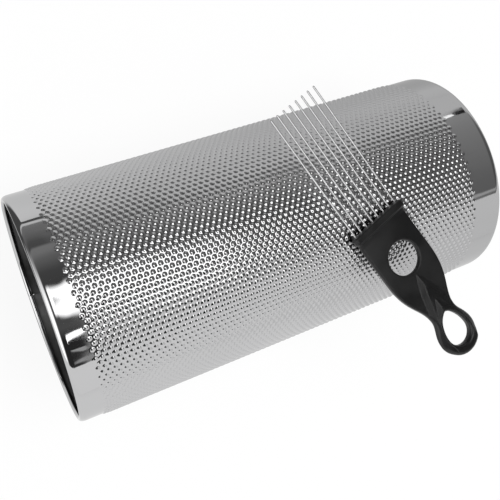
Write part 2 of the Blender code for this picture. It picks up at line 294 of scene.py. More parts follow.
def makeDrumEnds():
    # bands, rolled rims and the lapped seam in one sheet, with an opening whose edge follows the field's outer cells
    wound, lap = drumSection()
    section = wound + lap
    wallEnd = drum["length"] / 2 - drum["lipLength"]
    bandEnd = wallEnd - drum["bandEase"]  # keeps the band's shading flat up to the rim
    leftEdge = drum["rimSteps"] + 2
    first, last = (2 + 3 * rows for rows in (drum["plainRows"], drum["rows"] - drum["plainRows"]))
    bm = bmesh.new()
    grid = []
    for k, (point, mitre) in enumerate(zip(section, mitres(section))):
        notchLeft = notchRight = 0
        if first <= k < last:
            odd = (k - 2) // 3 % 2
            notchLeft, notchRight = bumpPitch / 2 * (1 - odd), bumpPitch / 2 * odd
        wall = (-wallEnd, -bandEnd, fieldLeft + notchLeft, fieldRight - notchRight, bandEnd, wallEnd)
        meridian = rimCurl(-1)[::-1] + [(x, 0) for x in wall] + rimCurl(1)
        places = [point - mitre * depth for _, depth in meridian]
        grid.append([bm.verts.new((x, p.x, p.y + axisHeight)) for (x, _), p in zip(meridian, places)])
    columns = len(grid[0]) - 1
    for row, (near, far) in enumerate(zip(grid, grid[1:])):
        for column in range(columns):
            inField = column == leftEdge and first - 1 <= row < last
            curled = column < drum["rimSteps"] or column >= columns - drum["rimSteps"]
            looseLap = row >= len(wound) and curled
            if not inField and not looseLap:
                bm.faces.new((near[column], near[column + 1], far[column + 1], far[column]))
    # the notches along the field's two seam sides
    for straight, jagged in ((first - 1, first), (last, last - 1)):
        ends = grid[straight][leftEdge], grid[straight][leftEdge + 1]
        dips = grid[jagged][leftEdge], grid[jagged][leftEdge + 1]
        tipXs = [dips[0].co.x + bumpPitch * (k + 0.5) for k in range(bump["perRow"])]
        tips = [ends[0], *[bm.verts.new((x, *ends[0].co.yz)) for x in tipXs], ends[1]]
        dipXs = [dips[0].co.x + bumpPitch * k for k in range(1, bump["perRow"])]
        valleys = [dips[0], *[bm.verts.new((x, *dips[0].co.yz)) for x in dipXs], dips[1]]
        for left, right, valley in zip(tips, tips[1:], valleys):
            if (right.co - left.co).length > weld:
                bm.faces.new((left, right, valley) if straight < jagged else (right, left, valley))
    bmesh.ops.delete(bm, geom=[v for v in bm.verts if not v.link_faces], context="VERTS")
    mesh = meshFrom(bm, "drumEnds")
    return thicken("drumEnds", mesh, drum["sheet"], drum["foldAngle"], sheetFinish, backFinishWithPaintedShade)


def bumpCell():
    # a six-sided cell of sheet with a low round dome in its middle
    halfX, halfY = bumpPitch / 2, rowSpacing / 2
    quarter = [(1, 0), (1, 2 / 3), (0.5, 1), (0, 4 / 3)]
    half = quarter + [(-x, y) for x, y in quarter[-2::-1]]
    edge = half + [(x, -y) for x, y in half[-2:0:-1]]
    sides = len(edge)
    turns = [math.tau * side / sides for side in range(sides)]
    bm = bmesh.new()
    loops = [[bm.verts.new((x * halfX, y * halfY, 0)) for x, y in edge]]
    for radius, rise in bump["rings"]:  # from the foot up
        loops.append([bm.verts.new((radius * math.cos(t), radius * math.sin(t), rise)) for t in turns])
    for outer, inner in zip(loops, loops[1:]):
        for side in range(sides):
            after = (side + 1) % sides
            bm.faces.new((outer[side], outer[after], inner[after], inner[side]))
    tip = bm.verts.new((0, 0, bump["height"]))
    for side in range(sides):
        bm.faces.new((loops[-1][side], loops[-1][(side + 1) % sides], tip))
    return meshFrom(bm, "bumpCell")


def newTree(name, sizes):
    tree = bpy.data.node_groups.new(name, "GeometryNodeTree")
    tree.interface.new_socket("Geometry", in_out="INPUT", socket_type="NodeSocketGeometry")
    for label, kind in sizes.items():
        tree.interface.new_socket(label, in_out="INPUT", socket_type=kind)
    tree.interface.new_socket("Geometry", in_out="OUTPUT", socket_type="NodeSocketGeometry")
    return tree, tree.nodes.new("NodeGroupInput").outputs


def applyTree(obj, tree, values):
    modifier = obj.modifiers.new(tree.name, "NODES")
    modifier.node_group = tree
    for item in tree.interface.items_tree:
        if item.in_out == "INPUT" and item.name in values:
            modifier[item.identifier] = values[item.name]
    return bake(obj)


def pressedFieldTree():
    whole, number = "NodeSocketInt", "NodeSocketFloat"
    tree, size = newTree("pressedField", {
        "Bumps": whole, "Rows": whole, "First Row": whole, "Pitch": number, "Row Spacing": number,
        "Radius": number, "Arc Start": number, "Axis Height": number, "Middle": number, "Lift": number,
        "Unevenness": number, "Field Start": number, "Field End": number, "Finish": "NodeSocketMaterial"})
    pitch, spacing = size["Pitch"], size["Row Spacing"]
    across = calc(tree, "MULTIPLY", calc(tree, "SUBTRACT", size["Bumps"], 1), pitch)
    along = calc(tree, "MULTIPLY", calc(tree, "SUBTRACT", size["Rows"], 1), spacing)
    grid = addNode(tree, "GeometryNodeMeshGrid", {
        "Size X": across, "Size Y": along, "Vertices X": size["Bumps"], "Vertices Y": size["Rows"]})
    place = axes(tree, addNode(tree, "GeometryNodeInputPosition").outputs[0])
    fromMiddle = calc(tree, "DIVIDE", place["Y"], spacing)
    middleRow = calc(tree, "DIVIDE", calc(tree, "SUBTRACT", size["Rows"], 1), 2)
    row = calc(tree, "ADD", calc(tree, "ROUND", calc(tree, "ADD", fromMiddle, middleRow)), size["First Row"])
    odd = calc(tree, "MODULO", row, 2)
    rowY = calc(tree, "MULTIPLY", calc(tree, "ADD", row, 0.5), spacing)
    quarter = calc(tree, "MULTIPLY", pitch, 0.25)
    stagger = calc(tree, "MULTIPLY", calc(tree, "SUBTRACT", 1, calc(tree, "MULTIPLY", odd, 2)), quarter)
    bumpPlace = addNode(tree, "ShaderNodeCombineXYZ", {"X": calc(tree, "ADD", place["X"], stagger), "Y": rowY})
    bumpPoints = addNode(tree, "GeometryNodeSetPosition", {
        "Geometry": grid.outputs["Mesh"], "Position": bumpPlace.outputs[0]})
    bumps = addNode(tree, "GeometryNodeInstanceOnPoints", {
        "Points": bumpPoints.outputs[0], "Instance": size["Geometry"]})
    flat = addNode(tree, "GeometryNodeRealizeInstances", {"Geometry": bumps.outputs[0]})
    sheet = addNode(tree, "GeometryNodeMergeByDistance", {"Geometry": flat.outputs[0], "Distance": weld})
    # pressing stretches the sheet, so the field stands a little proud of the bands
    halfLength = calc(tree, "MULTIPLY_ADD", across, 0.5, calc(tree, "MULTIPLY", pitch, 0.75))
    endGap = calc(tree, "SUBTRACT", halfLength, calc(tree, "ABSOLUTE", place["X"]))
    seamGap = calc(tree, "MINIMUM", calc(tree, "SUBTRACT", place["Y"], size["Field Start"]),
                   calc(tree, "SUBTRACT", size["Field End"], place["Y"]))
    nearEnd, clearOfEnd = (calc(tree, "MULTIPLY", pitch, share) for share in (0.5001, 1.5))
    lift = calc(tree, "MULTIPLY", remap(tree, endGap, nearEnd, clearOfEnd, 0, size["Lift"]),
                remap(tree, seamGap, 0, spacing, 0, 1))
    wobble = addNode(tree, "ShaderNodeTexNoise", {"Scale": bump["wobbleScale"], "Detail": 1}).outputs[0]
    uneven = calc(tree, "MULTIPLY_ADD", calc(tree, "SUBTRACT", wobble, 0.5), size["Unevenness"], 1)
    lift = calc(tree, "MULTIPLY", lift, uneven)
    turn = calc(tree, "ADD", calc(tree, "DIVIDE", place["Y"], size["Radius"]), size["Arc Start"])
    reach = calc(tree, "ADD", calc(tree, "ADD", place["Z"], size["Radius"]), lift)
    height = calc(tree, "ADD", calc(tree, "MULTIPLY", reach, calc(tree, "COSINE", turn)), size["Axis Height"])
    rolledPlace = addNode(tree, "ShaderNodeCombineXYZ", {
        "X": calc(tree, "ADD", place["X"], size["Middle"]),
        "Y": calc(tree, "MULTIPLY", reach, calc(tree, "SINE", turn)), "Z": height})
    rolled = addNode(tree, "GeometryNodeSetPosition", {
        "Geometry": sheet.outputs[0], "Position": rolledPlace.outputs[0]})
    finished = addNode(tree, "GeometryNodeSetMaterial", {
        "Geometry": rolled.outputs[0], "Material": size["Finish"]})
    tree.links.new(finished.outputs[0], tree.nodes.new("NodeGroupOutput").inputs[0])
    return tree


def makeFieldPanels():
    tree = pressedFieldTree()
    firstRow, endRow = drum["plainRows"], drum["rows"] - drum["plainRows"]
    edges = np.linspace(firstRow, endRow, bump["panels"] + 1).round().astype(int)
    panels = []
    for number, (first, last) in enumerate(zip(edges, edges[1:]), start=1):
        blank = applyTree(newObject("blank", bumpCell()), tree, {
            "Bumps": bump["perRow"], "Rows": int(last - first), "First Row": int(first), "Pitch": bumpPitch,
            "Row Spacing": rowSpacing, "Radius": drum["radius"], "Arc Start": arcStart, "Axis Height": axisHeight,
            "Middle": (fieldLeft + fieldRight) / 2, "Lift": bump["lift"], "Unevenness": bump["unevenness"],
            "Field Start": (firstRow + bump["seamMargin"]) * rowSpacing,
            "Field End": (endRow - bump["seamMargin"]) * rowSpacing, "Finish": sheetFinish})
        mesh = blank.data
        mesh.materials.clear()
        bpy.data.objects.remove(blank)
        name = f"drumField{number}"
        panels.append(thicken(name, mesh, drum["sheet"], bump["foldAngle"], sheetFinish, backFinishWithPaintedShade))
    return panels


drumEnds = makeDrumEnds()
fieldPanels = makeFieldPanels()
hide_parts("drum_shell")
for piece in [drumEnds, *fieldPanels]:
    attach(piece, "drum")
for name, node, end in (("rimWireLeft", "rim_wire_left", -1), ("rimWireRight", "rim_wire_right", 1)):
    rimWire = makeRimWire(name, end)
    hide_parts(node)
    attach(rimWire, "drum")
print("drum made:", bump["perRow"] * (drum["rows"] - 2 * drum["plainRows"]), "bumps in", len(fieldPanels), "panels")


# scraper: modelled with +Y along the tines and the tines' axes at height 0, then laid on the drum

scraper = {"place": (0.0492, -0.0094), "turn": 20.7, "rest": 0.0016}
# in millimetres or shares of a length, with distances back from the front of the bar
handle = {"width": 39.8, "thickness": 3.6, "edge": 0.9, "underEdge": 0.7, "foldAngle": 60, "lean": 0.006,
          "barDepth": 5.2, "barOverhang": 0.9, "barRise": 1.9, "barSeat": 0.3, "barEdge": 1.1, "barFade": (-1.3, 0.3),
          "grooveDepth": 0.08, "grooveBack": 0.35, "grooveWidth": 0.3,
          "crown": 0.9, "crownStart": (5, 9), "crownEnd": (12, 40), "sideStart": 0.6, "sideEase": 8,
          "shoulder": 38, "sweepOut": 0.58, "sweepIn": 0.32, "neckY": 76, "neckWidth": 20, "neckEase": 0.3,
          "windowY": 30.7, "windowRadius": 11.2, "windowBevel": 1.0,
          "ringY": 92.6, "ringRadius": 14.7, "ringStart": (66, 84), "ringEdge": 2.3, "ringUnder": 1.0,
          "strand": 5.9, "heel": 6.7, "eyeTop": 75, "eyeBow": 0.5, "eyeDip": 0.08, "eyeEase": 0.45}
# two stacked steps: half-widths of each one's foot at distances back from the front, and its sloping flank
steps = [
    {"rise": 1.4, "slope": 0.34, "foot": ((43.5, 0), (50, 3.4), (57.7, 6.3), (68.8, 9.1), (72.3, 9.9), (84, 13.5))},
    {"rise": 1.2, "slope": 0.32, "foot": ((63.8, 0), (70.7, 4.0), (76.9, 6.7), (84, 10.5), (95, 13))},
]
# how finely the handle is meshed: along its edges, in rows beside them, over its face and along its creases
mould = {"outlinePoints": 24, "eyePoints": 30, "windowPoints": 120, "edgeStep": 0.55,
         "insets": (0.06, 0.2, 0.45, 0.8, 1.25, 1.8, 2.4), "insetClear": 0.97, "closest": 0.05,
         "scatter": 0.9, "scatterClear": 2.75, "creaseStep": 0.6, "creaseEnd": 76,
         "barRows": (-0.9, -0.6, -0.35, -0.1, 0.2, 0.5, 0.8, 1.1), "barReach": (-17.6, 17.7), "barStep": 0.8}
tines = {"count": 8, "pitch": 0.0051, "radius": 0.00062, "reach": 0.088, "socket": 0.0137, "sides": 16,
         "tipAngles": (22, 45, 68), "foldAngle": 50}
# the last two set a darker colour for the tines towards their tips, and the distances over which it darkens
tineLook = {"dark": (0.57, 0.57, 0.575), "light": (0.65, 0.65, 0.655), "edge": (0.85, 0.85, 0.85),
            "roughLow": 0.10, "roughHigh": 0.18, "ripple": 0.1, "rippleScale": 900, "rippleDepth": 0.00005,
            "darkerTips": (0.50, 0.50, 0.503), "darkerTipsFrom": (0.040, 0.064)}
tineHeight = axisHeight + drum["radius"] + scraper["rest"] + handle["thickness"] * mm / 2
turnScraper = math.radians(scraper["turn"])
layScraper = Matrix.Translation((*scraper["place"], tineHeight)) @ Matrix.Rotation(turnScraper, 4, "Z")


def curveLoop(knots, perPiece):
    # closed outline from (point, control before, control after) on its right-hand half, in millimetres
    def flip(p):
        return (-p[0], p[1])

    knots = knots + [(flip(p), flip(after), flip(before)) for p, before, after in knots[-2:0:-1]]
    points = []
    for (start, _, leave), (end, arrive, _) in zip(knots, knots[1:] + knots[:1]):
        p0, p1, p2, p3 = (np.array(p, float) for p in (start, leave, arrive, end))
        for t in np.arange(perPiece) / perPiece:
            points.append((1 - t) ** 3 * p0 + 3 * (1 - t) ** 2 * t * p1 + 3 * (1 - t) * t * t * p2 + t ** 3 * p3)
    return np.array(points)


def evenly(loop, spacing):
    closed = np.vstack([loop, loop[:1]])
    run = np.concatenate([[0], np.cumsum(np.linalg.norm(np.diff(closed, axis=0), axis=1))])
    stops = np.linspace(0, run[-1], max(12, round(run[-1] / spacing)), endpoint=False)
    return np.stack([np.interp(stops, run, closed[:, axis]) for axis in (0, 1)], 1)


quarterBow = 0.5523  # share of the radius that makes a curve piece a quarter circle


def handleOutline():
    side, neck, ring = handle["width"] / 2, handle["neckWidth"] / 2, handle["ringRadius"]
    bar = side + handle["barOverhang"]
    depth, edge = handle["barDepth"], handle["barEdge"]
    shoulder, neckY, ringY = -handle["shoulder"], -handle["neckY"], -handle["ringY"]
    sweep, bow, heel = shoulder - neckY, ring * quarterBow, ringY - ring
    sweepOut, sweepIn, neckEase = sweep * handle["sweepOut"], sweep * handle["sweepIn"], handle["neckEase"]
    soft = edge * quarterBow
    return curveLoop([
        ((0, 0), (-bar / 3, 0), (bar / 3, 0)),
        ((bar - edge, 0), (bar * 2 / 3, 0), (bar - edge + soft, 0)),
        ((bar, -edge), (bar, -edge + soft), (bar, -depth / 2)),
        ((bar, edge - depth), (bar, -depth / 2), (bar, edge - depth - soft)),
        ((side, -depth - handle["sideStart"]), (side, -depth), (side, -depth - handle["sideEase"])),
        ((side, shoulder), (side, shoulder / 2), (side, shoulder - sweepOut)),
        ((neck, neckY), (neck, neckY + sweepIn), (neck, neckY + (ringY - neckY) * neckEase)),
        ((ring, ringY), (ring, ringY + bow), (ring, ringY - bow)),
        ((0, heel), (bow, heel), (-bow, heel)),
    ], mould["outlinePoints"])


def eyeOutline():
    radius = handle["ringRadius"] - handle["strand"]
    heel = -(handle["ringY"] + handle["ringRadius"] - handle["heel"])
    top, centre = -handle["eyeTop"], heel + radius
    rise, bow = top - centre, radius * quarterBow
    wide, dip = radius * handle["eyeBow"], top - rise * handle["eyeDip"]
    return curveLoop([
        ((0, top), (-wide, dip), (wide, dip)),
        ((radius, centre), (radius, centre + rise * handle["eyeEase"]), (radius, centre - bow)),
        ((0, heel), (bow, heel), (-bow, heel)),
    ], mould["eyePoints"])


def windowOutline():
    turns = np.linspace(0, math.tau, mould["windowPoints"], endpoint=False)
    ring = np.stack([np.sin(turns), np.cos(turns)], 1) * handle["windowRadius"]
    return ring - np.array((0, handle["windowY"]))


def nearestOn(points, loop):
    # distance from each point to a closed outline
    best = np.full(len(points), np.inf)
    for a, d in zip(loop, np.roll(loop, -1, axis=0) - loop):
        t = np.clip(((points - a) @ d) / max(d @ d, 1e-12), 0, 1)
        best = np.minimum(best, np.linalg.norm(points - a - t[:, None] * d, axis=1))
    return best


def within(points, loop):
    inside = np.zeros(len(points), bool)
    for a, b in zip(loop, np.roll(loop, -1, axis=0)):
        crosses = (a[1] > points[:, 1]) != (b[1] > points[:, 1])
        if crosses.any() and b[1] != a[1]:
            edgeX = (b[0] - a[0]) * (points[:, 1] - a[1]) / (b[1] - a[1]) + a[0]
            inside ^= crosses & (points[:, 0] < edgeX)
    return inside


def ease(value, low, high):
    t = np.clip((value - low) / (high - low), 0, 1)
    return t * t * (3 - 2 * t)


def roundedEdge(distance, radius):
    # how far a rounded edge falls below its face, at a distance in from the outline
    inward = np.clip(1 - distance / radius, 0, 1)
    return radius * (1 - np.sqrt(1 - inward * inward))


def handleHeights(points, outline, eye, window):
    x, back = np.abs(points[:, 0]), -points[:, 1]
    half = handle["thickness"] / 2
    edgeGap = np.minimum(nearestOn(points, outline), nearestOn(points, eye))
    windowGap = nearestOn(points, window)
    inRing = ease(back, *handle["ringStart"])
    onBar = 1 - ease(back, *[handle["barDepth"] + fade for fade in handle["barFade"]])
    top = half + handle["barRise"] * onBar
    # slightly crowned plate, and a fine groove behind the bar
    crowned = ease(back, *handle["crownStart"]) * (1 - ease(back, *handle["crownEnd"]))
    top -= handle["crown"] * (x / (handle["width"] / 2)) ** 2 * crowned
    fromGroove = back - handle["barDepth"] - handle["grooveBack"]
    top -= handle["grooveDepth"] * np.exp(-(fromGroove / handle["grooveWidth"]) ** 2)
    for step in steps:
        reach = np.interp(back, *np.array(step["foot"]).T)
        top += np.where(back > step["foot"][0][0], np.clip((reach - x) * step["slope"], 0, step["rise"]), 0)
    edge = handle["edge"] + (handle["ringEdge"] - handle["edge"]) * inRing
    edge += (handle["barEdge"] - handle["edge"]) * onBar
    top -= roundedEdge(edgeGap, edge) + roundedEdge(windowGap, handle["windowBevel"])
    under = -half - handle["barSeat"] * onBar
    under += roundedEdge(np.minimum(edgeGap, windowGap), handle["underEdge"] + handle["ringUnder"] * inRing)
    return top, under


def clearance(points, loops):
    return np.min([nearestOn(points, loop) for loop in loops], axis=0)


def facePoints(loops):
    # rows beside each edge for its rounding, an even scatter, and lines behind the bar and along the steps' creases
    parts = []
    for loop in loops:
        along = np.roll(loop, -1, axis=0) - np.roll(loop, 1, axis=0)
        normal = np.stack([-along[:, 1], along[:, 0]], 1) / np.linalg.norm(along, axis=1)[:, None]
        for inset in mould["insets"]:
            for sign in (1, -1):
                moved = loop + normal * inset * sign
                parts.append(moved[clearance(moved, loops) > inset * mould["insetClear"]])
    low, high = loops[0].min(0), loops[0].max(0)
    grid = np.array([(x + 0.5 * (k % 2), y) for k, y in enumerate(np.arange(low[1], high[1], mould["scatter"]))
                     for x in np.arange(low[0], high[0], mould["scatter"])])
    parts.append(grid[clearance(grid, loops) > mould["scatterClear"]])
    parts.append([(x, -handle["barDepth"] + dy) for dy in mould["barRows"]
                  for x in np.arange(*mould["barReach"], mould["barStep"])])
    for step in steps:
        backs = np.arange(step["foot"][0][0], mould["creaseEnd"], mould["creaseStep"])
        foot = np.interp(backs, *np.array(step["foot"]).T)
        for reach in (foot, foot - step["rise"] / step["slope"]):
            parts.append([(sign * r, -b) for r, b in zip(reach, backs) if r >= 0 for sign in (1, -1)])
        parts.append([(0, -b) for b in backs])
    return np.vstack(parts)


def makeHandle():
    loops = evenly(handleOutline(), mould["edgeStep"]), evenly(eyeOutline(), mould["edgeStep"]), windowOutline()

    def onFace(points):
        outline, *holes = (within(points, loop) for loop in loops)
        return outline & ~np.any(holes, axis=0)

    borders = []
    first = 0
    for loop in loops:
        borders += [(first + k, first + (k + 1) % len(loop)) for k in range(len(loop))]
        first += len(loop)
    extra = facePoints(loops)
    extra = extra[onFace(extra) & (clearance(extra, loops) > mould["closest"])]
    made = delaunay_2d_cdt([Vector(p) for p in np.vstack([*loops, extra])], borders, [], 0, 1e-4)
    flat = np.array([tuple(v) for v in made[0]])
    real = onFace(np.array([flat[list(face)].mean(0) for face in made[2]]))
    top, under = handleHeights(flat, *loops)
    bm = bmesh.new()
    flat[:, 0] -= handle["lean"] * np.minimum(flat[:, 1], 0)
    upper, lower = ([bm.verts.new((*(p * mm), z * mm)) for p, z in zip(flat, side)] for side in (top, under))
    for face, inside in zip(made[2], real):
        if inside:
            bm.faces.new([upper[k] for k in face])
            bm.faces.new([lower[k] for k in reversed(face)])
    twin = dict(zip(upper, lower))
    for edge in [e for e in bm.edges if e.is_boundary and e.verts[0] in twin]:
        a, b = edge.verts
        bm.faces.new((a, b, twin[b], twin[a]))
    bmesh.ops.delete(bm, geom=[v for v in bm.verts if not v.link_faces], context="VERTS")
    bmesh.ops.recalc_face_normals(bm, faces=bm.faces)
    mesh = meshFrom(bm, "scraperHandle")
    mesh.transform(layScraper)
    smooth(mesh, handle["foldAngle"])
    return newObject("scraperHandle", mesh, plasticFinish)


def drawnSteel(name, look):
    # polished wire, its colour darker towards the tips
    material = polishedSteel(name, look)
    tree = material.node_tree
    colour = tree.nodes["Principled BSDF"].inputs["Base Color"]
    place = objectPlace(tree)
    laid = {"Vector": place, "Location": (*scraper["place"], 0), "Rotation": (0, 0, turnScraper)}
    along = axes(tree, addNode(tree, "ShaderNodeMapping", laid, vector_type="TEXTURE").outputs[0])["Y"]
    darkerTips = remap(tree, along, *look["darkerTipsFrom"], 0, 1)
    plug(tree, colour, mixColour(tree, darkerTips, colour.links[0].from_socket, (*look["darkerTips"], 1)))
    return material


def tineBlank():
    # a turned wire with a rounded tip, lying along +Y
    bm = bmesh.new()
    radius, reach = tines["radius"], tines["reach"]
    profile = [(0, -tines["socket"]), (radius, -tines["socket"]), (radius, reach - radius)]
    tipTurns = np.radians(tines["tipAngles"])
    profile += [(radius * math.cos(t), reach - radius + radius * math.sin(t)) for t in tipTurns]
    profile.append((0, reach))
    verts = [bm.verts.new((r, y, 0)) for r, y in profile]
    edges = [bm.edges.new(pair) for pair in zip(verts, verts[1:])]
    bmesh.ops.spin(bm, geom=verts + edges, axis=(0, 1, 0), cent=(0, 0, 0), angle=math.tau, steps=tines["sides"])
    bmesh.ops.remove_doubles(bm, verts=bm.verts, dist=weld)
    bmesh.ops.recalc_face_normals(bm, faces=bm.faces)
    mesh = meshFrom(bm, "tineBlank")
    smooth(mesh, tines["foldAngle"])
    return mesh


def makeTineRow():
    tree, size = newTree("tineRow", {
        "Count": "NodeSocketInt", "Pitch": "NodeSocketFloat", "Finish": "NodeSocketMaterial"})
    step = addNode(tree, "ShaderNodeCombineXYZ", {"X": size["Pitch"]})
    gaps = calc(tree, "SUBTRACT", size["Count"], 1)
    back = calc(tree, "MULTIPLY", gaps, calc(tree, "MULTIPLY", size["Pitch"], -0.5))
    start = addNode(tree, "ShaderNodeCombineXYZ", {"X": back})
    line = addNode(tree, "GeometryNodeMeshLine", {
        "Count": size["Count"], "Start Location": start.outputs[0], "Offset": step.outputs[0]})
    row = addNode(tree, "GeometryNodeInstanceOnPoints", {"Points": line.outputs[0], "Instance": size["Geometry"]})
    real = addNode(tree, "GeometryNodeRealizeInstances", {"Geometry": row.outputs[0]})
    finished = addNode(tree, "GeometryNodeSetMaterial", {"Geometry": real.outputs[0], "Material": size["Finish"]})
    tree.links.new(finished.outputs[0], tree.nodes.new("NodeGroupOutput").inputs[0])
    row = applyTree(newObject("tineRow", tineBlank()), tree, {
        "Count": tines["count"], "Pitch": tines["pitch"], "Finish": drawnSteel("drawnTineSteel", tineLook)})
    row.data.transform(layScraper)
    return row


scraperHandle = makeHandle()
tineRow = makeTineRow()
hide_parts("scraper_handle")
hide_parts(*[f"tine_{number}" for number in range(1, tines["count"] + 1)])
for piece in (scraperHandle, tineRow):
    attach(piece, "scraper")
print("scraper made:", len(scraperHandle.data.polygons), "faces on the handle")


# studio: pale floor, white surround, a soft lamp overhead, and the dark room and softbox that the polish mirrors

studio = {"floorSize": 8, "floorDrop": 0.0004, "floorDark": (0.88, 0.88, 0.88), "floorLight": (0.92, 0.92, 0.92),
          "floorCloud": 3, "floorRough": 0.8, "floorShade": 0.12, "ambient": 0.6,
          "lampSize": (1.2, 1.2), "lampPlace": (0.1, -0.1, 1.7), "lampPower": 18}
# how much dimmer metal mirrors the white in places, and between which X or Y each change runs
dim = {"back": 0.42, "backY": (-0.2, 0.12), "far": 0.28, "farY": (0.15, 0.4), "leftShare": 0.33, "leftX": (-0.17, 0.15),
       "right": 0.19, "surroundX": (0.3, 0.55), "floorX": (0.08, 0.3), "rearShare": 0.15, "rearY": (-0.3, 0.3),
       "under": 0.45, "underX": (0.158, 0.175), "underY": (0.02, 0.045),
       "corner": 0.9, "cornerX": (-0.21, -0.175), "cornerY": (0.05, 0.13)}


def whiteLevel(tree, place, unlit, rightX):
    # plain white to the camera; mirrored rays see it dimmer towards the back and the right; other rays take unlit
    path = addNode(tree, "ShaderNodeLightPath").outputs
    where = axes(tree, place)
    back = calc(tree, "SUBTRACT", remap(tree, where["Y"], *dim["backY"], 0, dim["back"]),
                remap(tree, where["Y"], *dim["farY"], 0, dim["back"] - dim["far"]))
    back = calc(tree, "MULTIPLY", back, remap(tree, where["X"], *dim["leftX"], dim["leftShare"], 1))
    right = calc(tree, "MULTIPLY", remap(tree, where["X"], *rightX, 0, dim["right"]),
                 remap(tree, where["Y"], *dim["rearY"], 1, dim["rearShare"]))
    mirrored = calc(tree, "MAXIMUM", path["Is Glossy Ray"], path["Is Transmission Ray"])
    level = remap(tree, mirrored, 0, 1, unlit, calc(tree, "SUBTRACT", 1, calc(tree, "ADD", back, right)))
    return remap(tree, path["Is Camera Ray"], 0, 1, level, 1)


def makeSurround():
    world = bpy.data.worlds.new("whiteSurround")
    bpy.context.scene.world = world
    world.use_nodes = True
    tree = world.node_tree
    toward = addNode(tree, "ShaderNodeTexCoord").outputs["Generated"]
    surround = tree.nodes["Background"].inputs
    plug(tree, surround["Strength"], whiteLevel(tree, toward, studio["ambient"], dim["surroundX"]))
    surround["Color"].default_value = (1, 1, 1, 1)


def blend(tree, share, first, second):
    mix = addNode(tree, "ShaderNodeMixShader")
    for socket, value in zip(mix.inputs, (share, first, second)):
        plug(tree, socket, value)
    return mix.outputs[0]


def makeFloor():
    bm = bmesh.new()
    bmesh.ops.create_grid(bm, x_segments=4, y_segments=4, size=studio["floorSize"] / 2)
    bmesh.ops.translate(bm, vec=(0, 0, -studio["floorDrop"]), verts=bm.verts)
    mesh = meshFrom(bm, "floor")
    material, tree, shader = newMaterial("paleFloor")
    place = objectPlace(tree)
    cloud = noise(tree, place, studio["floorCloud"])
    plug(tree, shader.inputs["Base Color"], colourRange(tree, cloud, studio["floorDark"], studio["floorLight"]))
    shader.inputs["Roughness"].default_value = studio["floorRough"]
    shader.inputs["Specular IOR Level"].default_value = 0
    level = whiteLevel(tree, place, 0, dim["floorX"])
    # painted shade that only mirrored rays see on the floor: a shade right under the drum, and the studio's dark corner
    # behind its left end
    where = axes(tree, place)
    fromMiddle, fromSeam = (calc(tree, "ABSOLUTE", where[axis]) for axis in "XY")
    under = calc(tree, "MULTIPLY", remap(tree, fromMiddle, *dim["underX"], dim["under"], 0),
                 remap(tree, fromSeam, *dim["underY"], 1, 0))
    corner = calc(tree, "MULTIPLY", remap(tree, where["X"], *dim["cornerX"], dim["corner"], 0),
                  remap(tree, where["Y"], *dim["cornerY"], 0, 1))
    mirrored = addNode(tree, "ShaderNodeLightPath").outputs["Is Glossy Ray"]
    # the painted shade darkens the floor for mirrored rays only
    dark = calc(tree, "MULTIPLY", calc(tree, "MAXIMUM", under, corner), mirrored)
    glow = addNode(tree, "ShaderNodeEmission", {"Strength": level})
    black = addNode(tree, "ShaderNodeEmission", {"Strength": 0})
    share = remap(tree, level, 0, 0.5, 0, 1 - studio["floorShade"])
    lit = blend(tree, share, shader.outputs[0], glow.outputs[0])
    tree.links.new(blend(tree, dark, lit, black.outputs[0]), tree.nodes["Material Output"].inputs["Surface"])
    newObject("floor", mesh, material)


# a bent card with closed ends over the drum: at places along it, its brightness by angle from straight up to +Y
room = {
    "radius": 1.6, "left": -1.6, "right": 2.4, "endGlow": (1.6, 0.15),
    "stations": 101, "closer": (-0.1, 0.1, 21), "steps": 154,
    "places": (-1.3, -0.9, 0.008, 0.055, 0.25, 0.45, 0.75, 1.0, 1.24, 1.30, 1.5, 1.9),
    "looks": (0, 1, 1, 2, 2, 3, 3, 4, 4, 5, 5, 6),
    "glow": (
        ((-57, 2.2), (4, 2.2), (26, 1.3), (45, 0.6), (70, 0.2), (94, 0.05)),
        ((-57, 0.03), (-28, 0.03), (-18, 0.11), (22, 0.07), (35, 0.086), (41, 0.13), (48, 0.18), (54, 0.26),
         (58.8, 0.27), (61, 0.1), (67, 0.11), (73, 0.17), (80, 0.22), (86.5, 0.25), (87.1, 0.8), (89.3, 0.8),
         (89.8, 0.10), (94, 0.10)),
        ((-42, 1), (-36, 1), (-30, 0.92), (-24, 0.82), (-18, 0.62), (-8, 0.3), (22, 0.06), (40, 0.11), (58, 0.245),
         (72, 0.39), (88, 0.66)),
        ((-42, 1), (-36, 0.8), (-33, 0.45), (-29, 0.2), (-18, 0.1), (22, 0.07), (36, 0.2), (45, 0.34), (58, 0.62),
         (70, 0.85), (72, 0.85)),
        ((-44, 0.7), (-38, 0.4), (-34, 0.16), (-18, 0.07), (22, 0.06), (42, 0.16), (54, 0.46), (66, 0.8)),
        ((-40.5, 0.45), (-39.8, 0.18), (-37.6, 0.18), (-36.6, 0.5), (-34.6, 0.5), (-33.6, 0.17), (-18, 0.18),
         (40, 0.30), (59, 0.36), (60.2, 0.6), (66, 0.64)),
        ((-40.5, 0.3), (-34, 0.12), (-18, 0.1), (40, 0.15), (58, 0.25), (66, 0.45)))}
# the softbox is part of it: its upper and lower edges by distance along, and where its two ends fade out
softbox = {
    "strength": 2.2, "soft": 6, "fadeLeft": (-0.6, -0.4), "fadeRight": (0.40, 0.55),
    "top": ((-0.045, 20.8), (-0.02, 18.2), (0.003, 18.6), (0.02, 21.5), (0.107, 21.5), (0.218, 19.5), (0.333, 17.5),
            (0.436, 14), (0.495, 10.5), (0.54, 4)),
    "bottom": ((-0.045, -4.5), (-0.023, -7.7), (0, -8.4), (0.02, -8.2), (0.044, -13), (0.149, -19.4), (0.259, -25.3),
               (0.345, -29), (0.421, -30), (0.461, -26), (0.5, -18), (0.55, -8))}
